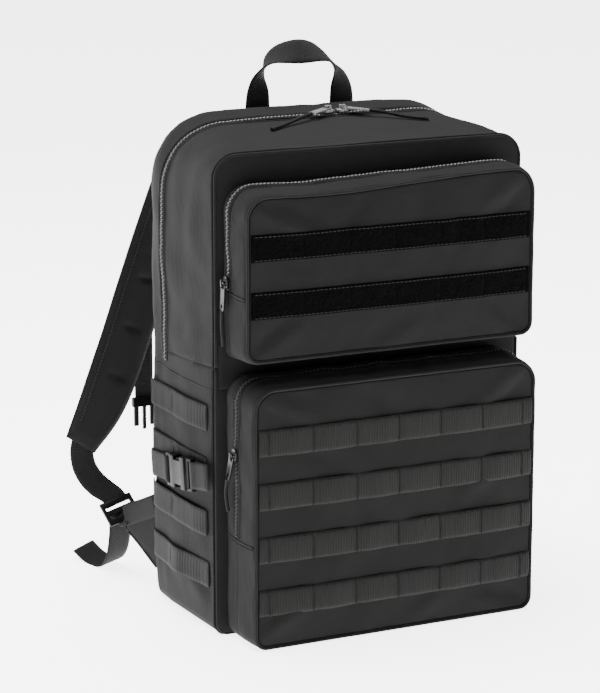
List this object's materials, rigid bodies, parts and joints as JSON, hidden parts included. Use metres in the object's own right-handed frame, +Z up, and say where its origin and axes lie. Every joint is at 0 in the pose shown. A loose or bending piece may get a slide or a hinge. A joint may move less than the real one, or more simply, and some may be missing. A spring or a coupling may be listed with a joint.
{
  "type": "trauma backpack",
  "caption": "Boxy padded backpack with a clamshell front, zipped front pockets, webbing rows and loop strips, side buckles, a carry handle and padded shoulder straps.",
  "frame": {"origin": "on the floor under the middle of the main body, half way between the back panel and the main front panel", "axes": "X to the right as seen from the front, Y from the front towards the back panel, Z up"},
  "size_m": [0.4308, 0.3398, 0.5274],
  "materials": {
    "shell_fabric": "close plain-weave polyester, faint sheen",
    "strap_fabric": "matte woven polyester over foam",
    "lining_fabric": "thin coated lining",
    "mesh_padding": "spacer mesh over foam",
    "frame_plastic": "thin stiff sheet",
    "webbing": "ribbed nylon webbing",
    "loop_tape": "fuzzy loop tape",
    "zip_coil": "nylon coil on woven tape",
    "slider_metal": "dark gunmetal, semi-gloss",
    "cord": "braided",
    "buckle_plastic": "semi-gloss moulded"
  },
  "bodies": {
    "pack_body": {"back_panel": "shell_fabric", "back_pads": "mesh_padding", "frame_sheet": "frame_plastic", "inner_sleeve": "lining_fabric", "rear_gusset": "shell_fabric", "side_panel_left": "shell_fabric", "side_panel_right": "shell_fabric", "bottom_panel": "shell_fabric", "front_panel": "shell_fabric", "side_webbing_left": "webbing", "side_webbing_right": "webbing", "main_zip": "zip_coil", "lower_pocket_gusset": "shell_fabric", "lower_zip": "zip_coil", "base_webbing_row": "webbing", "compression_webbing_left": "webbing", "compression_webbing_right": "webbing", "side_socket_left": "buckle_plastic", "side_socket_right": "buckle_plastic", "strap_wing_left": "shell_fabric", "strap_wing_right": "shell_fabric", "ladder_lock_left": "buckle_plastic", "ladder_lock_right": "buckle_plastic", "strap_webbing_left": "webbing", "strap_webbing_right": "webbing"},
    "main_flap": {"flap_panel": "shell_fabric", "flap_gusset": "shell_fabric", "upper_pocket_gusset": "shell_fabric", "upper_zip": "zip_coil"},
    "upper_pocket_flap": {"upper_pocket_face": "shell_fabric", "upper_pocket_flap_gusset": "shell_fabric", "loop_strips": "loop_tape"},
    "lower_pocket_flap": {"lower_pocket_face": "shell_fabric", "lower_pocket_flap_gusset": "shell_fabric", "lower_webbing_rows": "webbing"},
    "zip_slider_left": {"main_slider_left": "slider_metal"},
    "zip_slider_right": {"main_slider_right": "slider_metal"},
    "zip_pull_left": {"main_pull_left": "slider_metal", "main_cord_left": "cord"},
    "zip_pull_right": {"main_pull_right": "slider_metal", "main_cord_right": "cord"},
    "upper_pocket_slider": {"upper_slider": "slider_metal"},
    "upper_pocket_pull": {"upper_pull": "slider_metal", "upper_cord": "cord"},
    "lower_pocket_slider": {"lower_slider": "slider_metal"},
    "lower_pocket_pull": {"lower_pull": "slider_metal", "lower_cord": "cord"},
    "handle": {"carry_handle": "webbing"},
    "strap_left": {"shoulder_strap_left": "strap_fabric"},
    "strap_right": {"shoulder_strap_right": "strap_fabric"},
    "sternum_left": {"sternum_keeper_left": "buckle_plastic", "sternum_webbing_left": "webbing", "sternum_plug": "buckle_plastic"},
    "sternum_right": {"sternum_keeper_right": "buckle_plastic", "sternum_webbing_right": "webbing", "sternum_socket": "buckle_plastic"},
    "side_buckle_left": {"side_plug_left": "buckle_plastic", "plug_webbing_left": "webbing"},
    "side_buckle_right": {"side_plug_right": "buckle_plastic", "plug_webbing_right": "webbing"}
  },
  "joints": [
    {"name": "main_flap_fold", "type": "hinge", "parent": "pack_body", "child": "main_flap", "pos_m": [0, -0.107, 0.255], "axis": [1, 0, 0], "range_deg": [0, 45]},
    {"name": "upper_pocket_fold", "type": "hinge", "parent": "main_flap", "child": "upper_pocket_flap", "pos_m": [0, -0.125, 0.298], "axis": [1, 0, 0], "range_deg": [0, 95]},
    {"name": "lower_pocket_fold", "type": "hinge", "parent": "pack_body", "child": "lower_pocket_flap", "pos_m": [0, -0.1365, 0.07], "axis": [1, 0, 0], "range_deg": [0, 95]},
    {"name": "main_zip_slide_left", "type": "slide", "parent": "main_flap", "child": "zip_slider_left", "axis": [-1, 0, 0], "range_m": [0, 0.1]},
    {"name": "main_zip_slide_right", "type": "slide", "parent": "main_flap", "child": "zip_slider_right", "axis": [1, 0, 0], "range_m": [0, 0.075]},
    {"name": "main_pull_swing_left", "type": "hinge", "parent": "zip_slider_left", "child": "zip_pull_left", "pos_m": [0.008, 0.025, 0.46699], "axis": [-0.4695, 0.8829, 0], "range_deg": [0, 110]},
    {"name": "main_pull_swing_right", "type": "hinge", "parent": "zip_slider_right", "child": "zip_pull_right", "pos_m": [0.023, 0.025, 0.46699], "axis": [-0.5299, -0.848, 0], "range_deg": [0, 110]},
    {"name": "upper_zip_slide", "type": "slide", "parent": "main_flap", "child": "upper_pocket_slider", "axis": [0, 0, 1], "range_m": [0, 0.045]},
    {"name": "upper_pull_swing", "type": "hinge", "parent": "upper_pocket_slider", "child": "upper_pocket_pull", "pos_m": [-0.1535, -0.091, 0.335], "axis": [0, 0.9929, 0.1191], "range_deg": [0, 110]},
    {"name": "lower_zip_slide", "type": "slide", "parent": "pack_body", "child": "lower_pocket_slider", "axis": [0, 0, 1], "range_m": [-0.06, 0.035]},
    {"name": "lower_pull_swing", "type": "hinge", "parent": "lower_pocket_slider", "child": "lower_pocket_pull", "pos_m": [-0.1518, -0.104, 0.178], "axis": [0, 0.922, 0.3872], "range_deg": [0, 110]},
    {"name": "handle_fold", "type": "hinge", "parent": "pack_body", "child": "handle", "pos_m": [0, 0.07, 0.466], "axis": [1, 0, 0], "range_deg": [-25, 60]},
    {"name": "strap_swing_left", "type": "hinge", "parent": "pack_body", "child": "strap_left", "pos_m": [-0.073, 0.082, 0.438], "axis": [1, 0, 0], "range_deg": [0, 15]},
    {"name": "sternum_slide_left", "type": "slide", "parent": "strap_left", "child": "sternum_left", "axis": [-0.33, 0, -0.944], "range_m": [-0.02, 0.025]},
    {"name": "side_buckle_slide_left", "type": "slide", "parent": "pack_body", "child": "side_buckle_left", "axis": [0, 0.9912, -0.1323], "range_m": [0, 0.022]},
    {"name": "strap_swing_right", "type": "hinge", "parent": "pack_body", "child": "strap_right", "pos_m": [0.073, 0.082, 0.438], "axis": [1, 0, 0], "range_deg": [0, 15]},
    {"name": "sternum_slide_right", "type": "slide", "parent": "strap_right", "child": "sternum_right", "axis": [0.33, 0, -0.944], "range_m": [-0.02, 0.025]},
    {"name": "side_buckle_slide_right", "type": "slide", "parent": "pack_body", "child": "side_buckle_right", "axis": [0, 0.9912, -0.1323], "range_m": [0, 0.022]}
  ]
}
